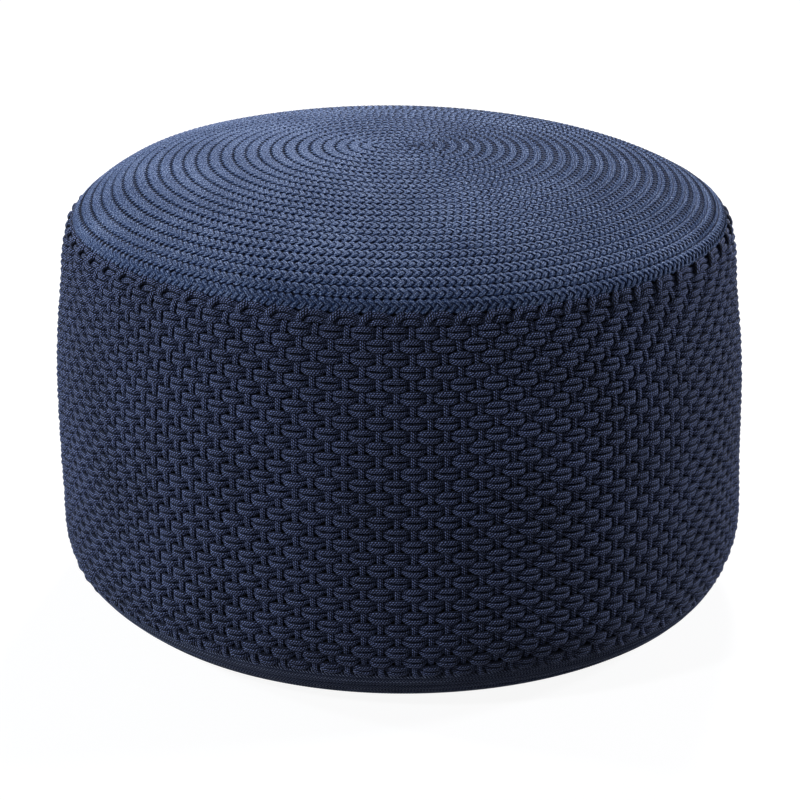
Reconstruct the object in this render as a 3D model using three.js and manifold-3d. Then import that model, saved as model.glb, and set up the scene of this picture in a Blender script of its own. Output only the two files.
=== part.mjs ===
// Round woven footstool: a drum of woven cord with a coiled braid top, drawn over a foam cushion
// that has its own bag and comes out through a zip in the base.
// Millimetres, +Z up, origin on the floor under the middle. The zip runs along X.

import * as THREE from 'three';
import { mergeVertices } from 'three/addons/utils/BufferGeometryUtils.js';
import Module from 'manifold-3d';

const wasm = await Module();
wasm.setup();

// Outline of the cover
const bellyDiameter = 600; // across the straight part of the woven side
const sideHeight = 343; // floor to the seam between the side and the coiled top
const crownHeight = 57; // the middle of the top above that seam
const footRound = 77; // radius that takes the side in to the foot
const shoulderHeight = 160; // the side leans in over this much below the seam
const seamInset = 19; // how far in the seam is from the belly

// Cover
const coverThickness = 9; // two cords crossing, and the braid
const footBandHeight = 40; // top edge of the flat braid round the foot
const footLipWidth = 18; // the same braid lying flat on the floor
const coilTurns = 24; // turns of the coiled braid
const coilGap = 0.7; // between one turn and the next

// Cushion in its bag
const bagWall = 0.8;
const bagSeamDrop = 12; // the bag's upper seam below the cover's
const topperDrop = 24; // the foam stops this far below the cover's seam

// Base panel, in two halves that the zip joins
const panelThickness = 1;
const panelLap = 13; // how far it lies over the foot braid's lip
const panelSlotWidth = 17; // opening between the halves along the zip

// Zip
const zipEndInset = 30; // from each end of the row of teeth to the foot braid's lip
const zipSlotMargin = 7; // the opening runs past the teeth at each end
const tapeWidth = 12;
const tapeThickness = 0.6;
const tapeEnd = 15; // tape past the teeth
const toothPitch = 5;
const toothThickness = 2;
const toothDepth = 1;
const toothTipGap = 2.4; // between the two rows, where the slider's neck runs
const spineWidth = 2; // the part of the row that grips the tape
const gripDepth = 1; // tape inside that grip
const stopLength = 3.5;
const stopRise = 0.5; // how far a stop stands out over the teeth

// Slider and pull
const sliderLength = 13;
const sliderWall = 0.9;
const sliderMouthWidth = 12.4; // over the lips at the end that leads in closing
const sliderTailWidth = 11.2;
const sliderLipWidth = 1.1;
const neckLength = 4;
const bridgeLength = 8; // the arch that carries the pull
const bridgeWidth = 2.4;
const bridgeWall = 1;
const pullLength = 33;
const pullWidth = 9;
const pullEyeWidth = 6.2;
const pullThickness = 1.4;
const pullBar = 1.3; // the bar of the eye that turns in the arch
const pullEyeLength = 5; // the opening of the eye
const pullSwing = 0.5; // room over and under the bar as it turns

// Fits
const seatGap = 0.3; // between pieces that bear on each other
const cutOverrun = 2; // tools run past what they cut

// Facets
const coilSteps = 24; // per turn
const drumSides = 48;
const footSteps = 5;
const sideSteps = 4; // foot round to seam
const crownSteps = 11; // seam to the middle
const panelSides = 24; // round half the base

const cord = { color: 0x2f3a57, roughness: 0.82, metalness: 0 };
const braid = { color: 0x36425f, roughness: 0.8, metalness: 0 };
const lining = { color: 0x23262e, roughness: 0.9, metalness: 0 };
const foam = { color: 0xd9d4c4, roughness: 0.95, metalness: 0 };
const wadding = { color: 0xf1efe8, roughness: 1, metalness: 0 };
const tape = { color: 0x20242f, roughness: 0.85, metalness: 0 };
const nylon = { color: 0x1b1e26, roughness: 0.45, metalness: 0 };
const blackMetal = { color: 0x2a2b2e, roughness: 0.4, metalness: 0.8 };

const bellyRadius = bellyDiameter / 2;
const footRadius = bellyRadius - footRound;
const seamRadius = bellyRadius - seamInset;
const lipRadius = footRadius - footLipWidth;
const zipLength = 2 * (lipRadius - zipEndInset);

// The crown is part of an oval that runs on below the seam, so that it leaves the side without a kink.
const seamLean = (2 * seamInset) / shoulderHeight;
const crownTuck = (seamLean * crownHeight ** 2) / (seamRadius - 2 * seamLean * crownHeight);
const crownRise = crownHeight + crownTuck;
const crownStart = Math.asin(crownTuck / crownRise);

// Geometry helpers

// One closed body: corners merged, flat triangles dropped, faces turned out.
function closedBody(geometry) {
  const bare = geometry.clone();
  for (const name of Object.keys(bare.attributes)) if (name !== 'position') bare.deleteAttribute(name);
  const merged = mergeVertices(bare);
  const place = merged.attributes.position;
  const index = merged.index.array;
  const a = new THREE.Vector3();
  const b = new THREE.Vector3();
  const c = new THREE.Vector3();
  const faces = [];
  let volume = 0;
  for (let i = 0; i < index.length; i += 3) {
    const [p, q, r] = [index[i], index[i + 1], index[i + 2]];
    if (p === q || q === r || r === p) continue;
    a.fromBufferAttribute(place, p);
    b.fromBufferAttribute(place, q);
    c.fromBufferAttribute(place, r);
    volume += a.dot(b.cross(c));
    faces.push([p, q, r]);
  }
  merged.setIndex(faces.flatMap(([p, q, r]) => (volume > 0 ? [p, q, r] : [p, r, q])));
  merged.computeVertexNormals();
  return merged;
}

function toSolid(geometry) {
  const body = closedBody(geometry);
  return new wasm.Manifold(new wasm.Mesh({
    numProp: 3,
    vertProperties: new Float32Array(body.attributes.position.array),
    triVerts: new Uint32Array(body.index.array),
  }));
}

function fromSolid(solid) {
  const mesh = solid.getMesh();
  const geometry = new THREE.BufferGeometry();
  geometry.setAttribute('position', new THREE.BufferAttribute(new Float32Array(mesh.vertProperties), 3));
  geometry.setIndex(new THREE.BufferAttribute(new Uint32Array(mesh.triVerts), 1));
  return closedBody(geometry);
}

// Turns [radius, height] points about the stool's axis.
function turned(points, sides) {
  const profile = points.map(([r, z]) => new THREE.Vector2(r, z));
  return closedBody(new THREE.LatheGeometry(profile, sides).rotateX(Math.PI / 2));
}

function turnedRing(points, sides) {
  return turned([...points, points[0]], sides);
}

// A flat outline in X and Y, given a thickness upwards from z.
function slab(shape, thickness, z, curveSegments = 1) {
  const geometry = new THREE.ExtrudeGeometry(shape, { depth: thickness, bevelEnabled: false, curveSegments });
  return closedBody(geometry.translate(0, 0, z));
}

function outline(points) {
  return new THREE.Shape(points.map(([x, y]) => new THREE.Vector2(x, y)));
}

function box(x0, x1, y0, y1, z0, z1) {
  return new THREE.BoxGeometry(x1 - x0, y1 - y0, z1 - z0)
    .translate((x0 + x1) / 2, (y0 + y1) / 2, (z0 + z1) / 2);
}

function mirroredInY(geometry) {
  return closedBody(geometry.clone().scale(1, -1, 1));
}

// The cover's outline, and layers at a depth under it

const coverLine = new THREE.Path();
coverLine.absarc(footRadius, footRound, footRound, -Math.PI / 2, 0, false);
coverLine.lineTo(bellyRadius, sideHeight - shoulderHeight);
coverLine.quadraticCurveTo(bellyRadius, sideHeight - shoulderHeight / 2, seamRadius, sideHeight);
coverLine.absellipse(0, sideHeight - crownTuck, seamRadius / Math.cos(crownStart), crownRise,
  crownStart, Math.PI / 2, false);

// [radius, height] at a share of the way from the foot to the middle of the crown.
function layerPoint(share, depth) {
  if (share === 1) return [0, sideHeight + crownHeight - depth];
  const point = coverLine.getPoint(share);
  const along = coverLine.getTangent(share);
  return [point.x - along.y * depth, point.y + along.x * depth];
}

function shareAtHeight(height, depth) {
  let [low, high] = [0, 1];
  for (let i = 0; i < 50; i += 1) {
    const middle = (low + high) / 2;
    if (layerPoint(middle, depth)[1] < height) low = middle;
    else high = middle;
  }
  return (low + high) / 2;
}

const tapeTop = coverThickness; // level with the foot braid's lip, under the base panel
const toothTop = tapeTop - tapeThickness / 2 + toothThickness / 2;
const toothBottom = toothTop - toothThickness;
const channelTop = toothTop + seatGap;
const channelBottom = toothBottom - seatGap;
const panelBottom = coverThickness + seatGap;
const bagBottom = Math.max(channelTop + sliderWall, panelBottom + panelThickness) + seatGap;
const bagOuter = coverThickness + seatGap;
const bagInner = bagOuter + bagWall;
const cushionDepth = bagInner + seatGap;
const bagSideStart = bagBottom + bagWall + seatGap;

const lineLength = coverLine.getLength();
const bandEndShare = shareAtHeight(footBandHeight, 0);
const seamShare = shareAtHeight(sideHeight, 0);
const bagBaseShare = shareAtHeight(bagBottom, bagOuter);
const bagStartShare = shareAtHeight(bagSideStart, bagOuter);
const bagSeamShare = shareAtHeight(sideHeight - bagSeamDrop, bagOuter);
const foamTop = sideHeight - topperDrop;
const foamTopShare = shareAtHeight(foamTop, cushionDepth);
const halfGapShare = seatGap / 2 / lineLength;

// Every layer has its corners at these places, so that their facets lie parallel.
const stationShares = (() => {
  const shares = [bagBaseShare, bagStartShare, bandEndShare, bagSeamShare, foamTopShare, seamShare];
  const footEnd = shareAtHeight(footRound, 0);
  for (let i = 0; i <= footSteps; i += 1) shares.push((footEnd * i) / footSteps);
  for (let i = 1; i < sideSteps; i += 1) shares.push(footEnd + ((seamShare - footEnd) * i) / sideSteps);
  for (let i = 1; i < crownSteps; i += 1) {
    const angle = crownStart + ((Math.PI / 2 - crownStart) * i) / crownSteps;
    shares.push(shareAtHeight(sideHeight - crownTuck + crownRise * Math.sin(angle), 0));
  }
  return shares.sort((a, b) => a - b);
})();

function layer(depth, from, to) {
  const margin = halfGapShare;
  const between = stationShares.filter((share) => share > from + margin && share < to - margin);
  return [from, ...between, to].map((share) => layerPoint(share, depth));
}

// The cover

// Flat braid coiled from the middle of the crown out to the seam. The turns run level round the
// front and step out by one turn round the back, where the end tapers against the seam.
function topBraid() {
  const middleDepth = coverThickness / 2;
  const line = [];
  const samples = 600;
  let length = 0;
  for (let i = 0; i <= samples; i += 1) {
    const share = 1 - ((1 - seamShare) * i) / samples;
    const point = layerPoint(share, middleDepth);
    if (i > 0) length += Math.hypot(point[0] - line[i - 1].point[0], point[1] - line[i - 1].point[1]);
    line.push({ share, point, length });
  }
  const shareAt = (distance) => {
    const next = Math.max(1, line.findIndex((stop) => stop.length >= distance));
    const [a, b] = [line[next - 1], line[next]];
    return a.share + ((b.share - a.share) * (distance - a.length)) / (b.length - a.length);
  };

  const firstTurnShare = 0.62; // of a turn's width, from the axis to the first turn's middle
  const pitch = (length - seatGap) / (coilTurns - 1 + 1 / 2 + firstTurnShare);
  const stepOut = (turn) => {
    const part = Math.min(1, Math.max(0, (turn - Math.floor(turn) - 1 / 4) * 2));
    return Math.floor(turn) + part * part * (3 - 2 * part);
  };
  const tailShare = 0.12; // of the width, left at the tapered end
  const lastLevel = coilTurns - 1;
  const edge = length - seatGap;

  const rings = [];
  const start = 1 / 4;
  const end = lastLevel + 3 / 4 - 1 / coilSteps;
  const count = Math.round((end - start) * coilSteps);
  for (let i = 0; i <= count; i += 1) {
    const turn = start + i / coilSteps;
    const level = stepOut(turn);
    let width = pitch - coilGap;
    let distance = (firstTurnShare + level) * pitch;
    if (level > lastLevel) {
      width = Math.max(tailShare, 1 - (level - lastLevel)) * pitch - coilGap;
      width = Math.max(width, tailShare * pitch);
      distance = edge - coilGap / 2 - width / 2;
    }
    const share = shareAt(Math.min(distance, edge));
    const [radius, height] = layerPoint(share, middleDepth);
    const along = coverLine.getTangent(share);
    const angle = -Math.PI / 2 + turn * 2 * Math.PI;
    const ring = [];
    for (let k = 0; k < 6; k += 1) {
      const across = (width / 2) * Math.cos((k * Math.PI) / 3);
      const up = (coverThickness / 2) * Math.sign(Math.round(Math.sin((k * Math.PI) / 3) * 2));
      const r = radius - along.x * across + along.y * up;
      const z = height - along.y * across - along.x * up;
      ring.push(new THREE.Vector3(r * Math.cos(angle), r * Math.sin(angle), z));
    }
    rings.push(ring);
  }

  let least = Infinity;
  for (let i = 0; i + coilSteps < rings.length; i += 1) {
    for (const p of rings[i]) for (const q of rings[i + coilSteps]) least = Math.min(least, p.distanceTo(q));
  }
  console.log(`coiled braid: ${coilTurns} turns, least gap ${(least * Math.cos(Math.PI / coilSteps)).toFixed(2)} mm`);
  return tubeThrough(rings);
}

// One unbroken tube through rings of corners, with flat ends.
function tubeThrough(rings) {
  const sides = rings[0].length;
  const faces = [];
  for (let i = 0; i + 1 < rings.length; i += 1) {
    for (let k = 0; k < sides; k += 1) {
      const [a, b] = [i * sides + k, i * sides + ((k + 1) % sides)];
      faces.push(a, b, a + sides, b, b + sides, a + sides);
    }
  }
  const last = (rings.length - 1) * sides;
  for (let k = 1; k + 1 < sides; k += 1) faces.push(0, k + 1, k, last, last + k, last + k + 1);
  const geometry = new THREE.BufferGeometry().setFromPoints(rings.flat());
  geometry.setIndex(faces);
  return closedBody(geometry);
}

function sideWeave() {
  const from = bandEndShare + halfGapShare;
  const to = seamShare - halfGapShare;
  return turnedRing([...layer(0, from, to), ...layer(coverThickness, from, to).reverse()], drumSides);
}

function baseBraid() {
  const to = bandEndShare - halfGapShare;
  const outside = layer(0, 0, to);
  const inside = layer(coverThickness, 0, to).reverse();
  return turnedRing([[lipRadius, 0], ...outside, ...inside, [lipRadius, coverThickness]], drumSides);
}

// Base panel and zip, made for the half at +Y

function basePanel() {
  const radius = lipRadius + panelLap;
  const slotX = zipLength / 2 + zipSlotMargin;
  const slotY = panelSlotWidth / 2;
  const seamY = seatGap / 2;
  const endAngle = Math.asin(seamY / radius);
  const shape = new THREE.Shape();
  shape.moveTo(-slotX, slotY);
  shape.lineTo(slotX, slotY);
  shape.lineTo(slotX, seamY);
  shape.lineTo(radius * Math.cos(endAngle), seamY);
  shape.absarc(0, 0, radius, endAngle, Math.PI - endAngle, false);
  shape.lineTo(-slotX, seamY);
  return slab(shape, panelThickness, panelBottom, panelSides);
}

const spineFront = toothTipGap / 2 + toothDepth; // where the teeth stand out from the spine
const spineBack = spineFront + spineWidth;
const tapeFront = spineBack - gripDepth;

function zipTape() {
  const reach = zipLength / 2 + tapeEnd;
  return closedBody(box(-reach, reach, tapeFront, tapeFront + tapeWidth, tapeTop - tapeThickness, tapeTop));
}

// The slot that takes the tape's edge.
function gripTool(x0, x1) {
  return toSolid(box(x0 - cutOverrun, x1 + cutOverrun, tapeFront - seatGap, spineBack + cutOverrun,
    tapeTop - tapeThickness - seatGap, tapeTop + seatGap));
}

// A row of moulded teeth on the spine that grips the tape. The rows are half a pitch apart.
function zipTeeth(offsetShare) {
  const reach = zipLength / 2;
  const points = [[reach, spineFront], [reach, spineBack], [-reach, spineBack], [-reach, spineFront]];
  const tipShare = 0.4; // of the pitch, width of a tooth at its tip
  const rootShare = 0.56; // and at its root
  const teeth = Math.floor(zipLength / toothPitch - 1 / 2);
  for (let i = 0; i < teeth; i += 1) {
    const x = -reach + (i + 1 / 2 + offsetShare) * toothPitch;
    points.push([x - (rootShare * toothPitch) / 2, spineFront]);
    points.push([x - (tipShare * toothPitch) / 2, spineFront - toothDepth]);
    points.push([x + (tipShare * toothPitch) / 2, spineFront - toothDepth]);
    points.push([x + (rootShare * toothPitch) / 2, spineFront]);
  }
  const row = toSolid(slab(outline(points), toothThickness, toothBottom));
  return fromSolid(row.subtract(gripTool(-reach, reach)));
}

// A stop clamped on one tape edge just past the last tooth.
function zipStop() {
  const x0 = zipLength / 2 + seatGap;
  const block = toSolid(box(x0, x0 + stopLength, toothTipGap / 2, spineBack,
    toothBottom - stopRise, toothTop + stopRise));
  return fromSolid(block.subtract(gripTool(x0, x0 + stopLength)));
}

// The box that joins both tapes at the end where the zip opens to.
function zipEndBox() {
  const x1 = -zipLength / 2 - seatGap;
  const x0 = x1 - stopLength;
  const block = toSolid(box(x0, x1, -spineBack, spineBack, toothBottom - stopRise, toothTop + stopRise));
  const grip = gripTool(x0, x1);
  return fromSolid(block.subtract(grip).subtract(grip.mirror([0, 1, 0])));
}

// Slider and pull, with the slider closed against the stops

const sliderFront = zipLength / 2;
const sliderMiddle = sliderFront - sliderLength / 2;
const pullAxisZ = channelBottom - sliderWall - pullBar / 2 - pullSwing;
const bridgeOpening = pullBar + 2 * pullSwing;
const bridgeBottom = channelBottom - sliderWall - bridgeOpening - bridgeWall;

function sliderPlate(z) {
  const [tail, mouth] = [sliderTailWidth / 2, sliderMouthWidth / 2];
  const waist = (tail + spineBack + seatGap + sliderLipWidth) / 2;
  const back = sliderMiddle - sliderLength / 2;
  return toSolid(slab(outline([
    [back, -waist], [sliderMiddle, -tail], [sliderFront, -mouth],
    [sliderFront, mouth], [sliderMiddle, tail], [back, waist],
  ]), sliderWall, z));
}

// Lips close the channel at the sides and leave a slit for each tape.
function sliderLip(z0, z1, side) {
  const tail = sliderTailWidth / 2;
  const back = sliderMiddle - sliderLength / 2;
  const waist = (tail + spineBack + seatGap + sliderLipWidth) / 2;
  const points = [[back, waist], [sliderMiddle, tail], [sliderMiddle, tail - sliderLipWidth],
    [back, waist - sliderLipWidth]];
  return toSolid(slab(outline(points.map(([x, y]) => [x, y * side])), z1 - z0, z0));
}

function zipSlider() {
  const lowerTop = channelBottom;
  const tapeBottom = tapeTop - tapeThickness;
  let body = sliderPlate(channelBottom - sliderWall).add(sliderPlate(channelTop));
  const neckHalf = toothTipGap / 2 - seatGap;
  const neck = slab(outline([
    [sliderFront - neckLength, 0], [sliderFront, -neckHalf], [sliderFront, neckHalf],
  ]), channelTop - lowerTop + sliderWall, lowerTop - sliderWall / 2);
  body = body.add(toSolid(neck));
  for (const side of [-1, 1]) {
    body = body.add(sliderLip(lowerTop - sliderWall / 2, tapeBottom - seatGap, side));
    body = body.add(sliderLip(tapeTop + seatGap, channelTop + sliderWall / 2, side));
  }
  const archHeight = bridgeOpening + bridgeWall + sliderWall / 2;
  const half = bridgeLength / 2;
  const top = channelBottom - sliderWall / 2;
  const cornerShare = 0.5; // of the arch's wall, cut off its lower corners
  const corner = cornerShare * (bridgeWall + bridgeOpening);
  const arch = new THREE.ExtrudeGeometry(outline([
    [-half, top], [-half, top - archHeight + corner], [-half + corner, top - archHeight],
    [half - corner, top - archHeight], [half, top - archHeight + corner], [half, top],
  ]), { depth: bridgeWidth, bevelEnabled: false })
    .translate(0, 0, -bridgeWidth / 2).rotateX(Math.PI / 2).translate(sliderMiddle, 0, 0);
  const openingHalf = half - bridgeWall - pullSwing;
  const opening = box(sliderMiddle - openingHalf, sliderMiddle + openingHalf, -bridgeWidth, bridgeWidth,
    bridgeBottom + bridgeWall, channelBottom - sliderWall);
  return fromSolid(body.add(toSolid(arch).subtract(toSolid(opening))));
}

// Lies flat under the slider, towards the closed teeth, and swings down about its bar.
function zipPull() {
  const eye = pullEyeWidth / 2;
  const wide = pullWidth / 2;
  const bar = pullBar / 2;
  const start = sliderMiddle + bar;
  const tip = sliderMiddle - pullLength;
  const neck = sliderMiddle - bar - pullEyeLength;
  const taperShare = 0.2; // of the pull's length, over which it widens
  const taper = neck - taperShare * pullLength;
  const body = toSolid(slab(outline([
    [start, eye], [neck, eye], [taper, wide], [tip + bar, wide], [tip, wide - bar],
    [tip, -wide + bar], [tip + bar, -wide], [taper, -wide], [neck, -eye], [start, -eye],
  ]), pullThickness, pullAxisZ - pullThickness / 2));
  const hole = bridgeWidth / 2 + seatGap;
  const opening = toSolid(box(neck, sliderMiddle - bar, -hole, hole,
    pullAxisZ - pullThickness, pullAxisZ + pullThickness));
  return fromSolid(body.subtract(opening));
}

// Cushion and its bag

function bagTop() {
  const from = bagSeamShare + halfGapShare;
  return turned([...layer(bagInner, from, 1).reverse(), ...layer(bagOuter, from, 1)], coilSteps);
}

function bagSide() {
  const to = bagSeamShare - halfGapShare;
  return turnedRing([...layer(bagOuter, bagStartShare, to), ...layer(bagInner, bagStartShare, to).reverse()],
    drumSides);
}

function bagBase() {
  const radius = layerPoint(bagBaseShare, bagOuter)[0];
  return turned([[0, bagBottom], [radius, bagBottom], [radius, bagBottom + bagWall], [0, bagBottom + bagWall]],
    drumSides);
}

function foamCore() {
  const wall = layer(cushionDepth, shareAtHeight(bagSideStart, cushionDepth), foamTopShare);
  return turned([[0, bagSideStart], ...wall, [0, foamTop]], drumSides);
}

function fibreTopper() {
  const from = foamTop + seatGap;
  return turned([[0, from], ...layer(cushionDepth, shareAtHeight(from, cushionDepth), 1)], coilSteps);
}

// Assembly

const group = new THREE.Group();

function place(name, geometry, look) {
  const mesh = new THREE.Mesh(geometry, new THREE.MeshStandardMaterial(look));
  mesh.name = name;
  group.add(mesh);
}

place('top_braid', topBraid(), braid);
place('side_weave', sideWeave(), cord);
place('base_braid', baseBraid(), braid);
place('base_panel_back', basePanel(), lining);
place('base_panel_front', mirroredInY(basePanel()), lining);
place('zip_tape_back', zipTape(), tape);
place('zip_tape_front', mirroredInY(zipTape()), tape);
place('zip_teeth_back', zipTeeth(0), nylon);
place('zip_teeth_front', mirroredInY(zipTeeth(1 / 2)), nylon);
place('zip_stop_back', zipStop(), nylon);
place('zip_stop_front', mirroredInY(zipStop()), nylon);
place('zip_end_box', zipEndBox(), nylon);
place('zip_slider', zipSlider(), blackMetal);
place('zip_pull', zipPull(), blackMetal);
place('bag_top', bagTop(), lining);
place('bag_side', bagSide(), lining);
place('bag_base', bagBase(), lining);
place('foam_core', foamCore(), foam);
place('fibre_topper', fibreTopper(), wadding);

export default group;
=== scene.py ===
import math

import bpy
import numpy as np
from mathutils import Matrix


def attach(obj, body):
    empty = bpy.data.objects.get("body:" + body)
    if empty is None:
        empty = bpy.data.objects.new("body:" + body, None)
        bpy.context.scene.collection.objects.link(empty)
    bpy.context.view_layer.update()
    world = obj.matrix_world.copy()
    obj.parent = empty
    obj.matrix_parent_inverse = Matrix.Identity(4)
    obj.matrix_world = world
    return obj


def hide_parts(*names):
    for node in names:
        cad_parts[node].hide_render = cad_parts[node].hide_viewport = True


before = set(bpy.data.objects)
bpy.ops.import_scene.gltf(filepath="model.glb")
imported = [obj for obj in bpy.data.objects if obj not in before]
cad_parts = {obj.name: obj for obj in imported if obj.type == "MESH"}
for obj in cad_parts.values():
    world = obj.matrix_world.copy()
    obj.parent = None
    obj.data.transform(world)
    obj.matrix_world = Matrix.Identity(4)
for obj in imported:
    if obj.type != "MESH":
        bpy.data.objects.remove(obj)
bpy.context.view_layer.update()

mm = 0.001

# The foam core is a block of soft polyether foam, cut to a drum with a contour saw. It stands in
# the bag on its own base and gives the footstool its upright side, so every other layer is laid
# over this one outline, which starts flat on the floor and ends at the middle of the crown.
belly_radius = 300 * mm
side_height = 343 * mm
crown_height = 57 * mm
foot_round = 77 * mm
foot_radius = belly_radius - foot_round
lip_width = 18 * mm
shoulder_height = 160 * mm
seam_inset = 19 * mm
cover_thickness = 9 * mm
seat_gap = 0.3 * mm
bag_wall = 0.8 * mm
foam_low = 12.3 * mm
foam_low_round = 6 * mm
foam_top = side_height - 24 * mm  # the foam ends below the seam of the cover
foam_top_round = 9 * mm
cushion_depth = cover_thickness + 2 * seat_gap + bag_wall


def outline_of_cover():
    """Length along the outline from the edge of the foot, radius, height and outward normal."""
    seam_radius = belly_radius - seam_inset
    lean = 2 * seam_inset / shoulder_height
    tuck = lean * crown_height**2 / (seam_radius - 2 * lean * crown_height)
    rise = crown_height + tuck
    start = math.asin(tuck / rise)
    lip = np.stack([np.linspace(foot_radius - lip_width, foot_radius, 40), np.zeros(40)], 1)[:-1]
    turn = np.linspace(-math.pi / 2, 0, 400)
    foot = np.stack([foot_radius + foot_round * np.cos(turn),
                     foot_round + foot_round * np.sin(turn)], 1)
    share = np.linspace(0, 1, 600)[:, None]
    low, high = side_height - shoulder_height, side_height
    shoulder = ((1 - share) ** 2 * [belly_radius, low]
                + 2 * share * (1 - share) * [belly_radius, (low + high) / 2]
                + share**2 * [seam_radius, high])
    wall = np.stack([np.full(300, belly_radius), np.linspace(foot_round, low, 300)], 1)[1:-1]
    turn = np.linspace(start, math.pi / 2, 1500)[1:]
    crown = np.stack([seam_radius / math.cos(start) * np.cos(turn),
                      side_height - tuck + rise * np.sin(turn)], 1)
    line = np.concatenate([lip, foot, wall, shoulder, crown])
    length = np.concatenate([[0], np.cumsum(np.hypot(*np.diff(line, axis=0).T))])
    length -= np.interp(foot_radius, line[:60, 0], length[:60])
    along = np.gradient(line, axis=0)
    along /= np.linalg.norm(along, axis=1)[:, None]
    seam = len(lip) + len(foot) + len(wall) + len(shoulder) - 1
    return length, line[:, 0], line[:, 1], along[:, 1], -along[:, 0], length[seam]


cover_length, cover_r, cover_z, cover_out_r, cover_out_z, seam_at = outline_of_cover()
crown_at = cover_length[-1]
lean_share = 0.0157  # the filled cover leans this much of its height to the left

# Where the filling has settled or stands out: degrees from the front, place along the outline, and
# the mm that the surface has gone in there. Each fades out over this angle and this length.
settled_turn, settled_reach = 28, 30 * mm
near_foot, at_belly = 62 * mm, 130 * mm
under_seam, over_seam, on_crown = seam_at - 15 * mm, seam_at + 25 * mm, seam_at + 40 * mm
settled = (
    (-65, under_seam, -6.5), (-95, over_seam, 6.5), (-65, over_seam, 2.5), (-125, under_seam, 2.0),
    (-125, over_seam, -2.2), (65, under_seam, -3.6), (95, under_seam, -3.6), (95, over_seam, 3.2),
    (125, over_seam, -1.2), (148, over_seam, 4.4), (180, on_crown, -1.4), (-90, near_foot, -5.0),
    (-60, near_foot, 2.0), (-30, near_foot, -1.5), (60, near_foot, -1.2), (90, at_belly, -1.5),
    (-90, at_belly, 1.2),
)


def degrees_from(angle, centre):
    """Degrees from a place round the drum, which is 0 at the front and 90 on the right."""
    return (np.degrees(angle) - centre + 180) % 360 - 180


def on_cover(angle, along, depth):
    """A point at an angle from the front (towards +X), along the outline and under its surface."""
    angle, along, depth = np.broadcast_arrays(angle, along, depth)
    depth = depth.astype(float).copy()
    for centre, place, sunk in settled:
        turn = degrees_from(angle, centre) / settled_turn
        depth += sunk * mm * np.exp(-(turn**2) - ((along - place) / settled_reach) ** 2)
    r, z = np.interp(along, cover_length, cover_r), np.interp(along, cover_length, cover_z)
    r = r - depth * np.interp(along, cover_length, cover_out_r)
    z = z - depth * np.interp(along, cover_length, cover_out_z)
    return np.stack([r * np.sin(angle) - lean_share * z, -r * np.cos(angle), z], -1)


def at_height(height):
    """The place along the outline where the side reaches this height."""
    side = cover_length <= seam_at
    return float(np.interp(height, cover_z[side], cover_length[side]))


def once_round(count):
    """The angles of this many equal steps."""
    return np.arange(count) * 2 * math.pi / count


def add_piece(name, points, faces, material, rounded=True, maps=None):
    """A mesh object from points, faces as lists of index arrays of one width each, and UV maps."""
    mesh = bpy.data.meshes.new(name)
    corners = np.concatenate([f.ravel() for f in faces]).astype(np.int32)
    sizes = np.concatenate([np.full(len(f), f.shape[1]) for f in faces]).astype(np.int32)
    mesh.vertices.add(len(points))
    mesh.vertices.foreach_set("co", np.asarray(points, np.float32).ravel())
    mesh.loops.add(len(corners))
    mesh.loops.foreach_set("vertex_index", corners)
    mesh.polygons.add(len(sizes))
    mesh.polygons.foreach_set("loop_start", (np.cumsum(sizes) - sizes).astype(np.int32))
    mesh.polygons.foreach_set("loop_total", sizes)
    mesh.polygons.foreach_set("use_smooth", np.full(len(sizes), rounded))
    mesh.update(calc_edges=True)
    for key, values in (maps or {}).items():
        layer = mesh.uv_layers.new(name=key, do_init=False)
        layer.uv.foreach_set("vector", np.asarray(values, np.float32).ravel())
    mesh.validate()
    mesh.materials.append(material)
    made = bpy.data.objects.new(name, mesh)
    bpy.context.scene.collection.objects.link(made)
    return made


def rings_to_piece(name, rings, material, closes=False):
    """Rings of points one above the other; open ends are closed with a fan round their middle."""
    count, sides = rings.shape[:2]
    index = np.arange(count * sides).reshape(count, sides)
    last = count if closes else count - 1
    a, b = index, np.roll(index, -1, 1)
    c, d = np.roll(b, -1, 0), np.roll(a, -1, 0)
    quads = np.stack([a, b, c, d], -1)[:last].reshape(-1, 4)
    points, faces = [rings.reshape(-1, 3)], [quads]
    if not closes:
        ends = np.array([count * sides, count * sides + 1])
        points.append(np.stack([rings[0].mean(0), rings[-1].mean(0)]))
        low = np.stack([np.roll(index[0], -1), index[0], np.full(sides, ends[0])], -1)
        high = np.stack([index[-1], np.roll(index[-1], -1), np.full(sides, ends[1])], -1)
        faces.append(np.concatenate([low, high]))
    return add_piece(name, np.concatenate(points), faces, material)


def linear(hex_colour):
    """The linear colour of an sRGB hex value such as 2F3A57."""
    parts = [int(hex_colour[i:i + 2], 16) / 255 for i in (0, 2, 4)]
    return [p / 12.92 if p <= 0.04045 else ((p + 0.055) / 1.055) ** 2.4 for p in parts] + [1]


def new_material(name, settings):
    """A material with one shader and the values of that shader's own sockets."""
    material = bpy.data.materials.new(name)
    material.use_nodes = True
    for socket, value in settings.items():
        material.node_tree.nodes["Principled BSDF"].inputs[socket].default_value = value
    return material


def add_node(owner, kind, inputs=None, **settings):
    """Adds a node to a material or the world. An input gets a value, or a link from a socket or
    from a node's first output."""
    node = owner.node_tree.nodes.new("ShaderNode" + kind)
    for key, value in settings.items():
        setattr(node, key, value)
    for key, value in (inputs or {}).items():
        if isinstance(value, bpy.types.Node):
            value = value.outputs[0]
        if isinstance(value, bpy.types.NodeSocket):
            owner.node_tree.links.new(value, node.inputs[key])
        else:
            node.inputs[key].default_value = value
    return node


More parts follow.
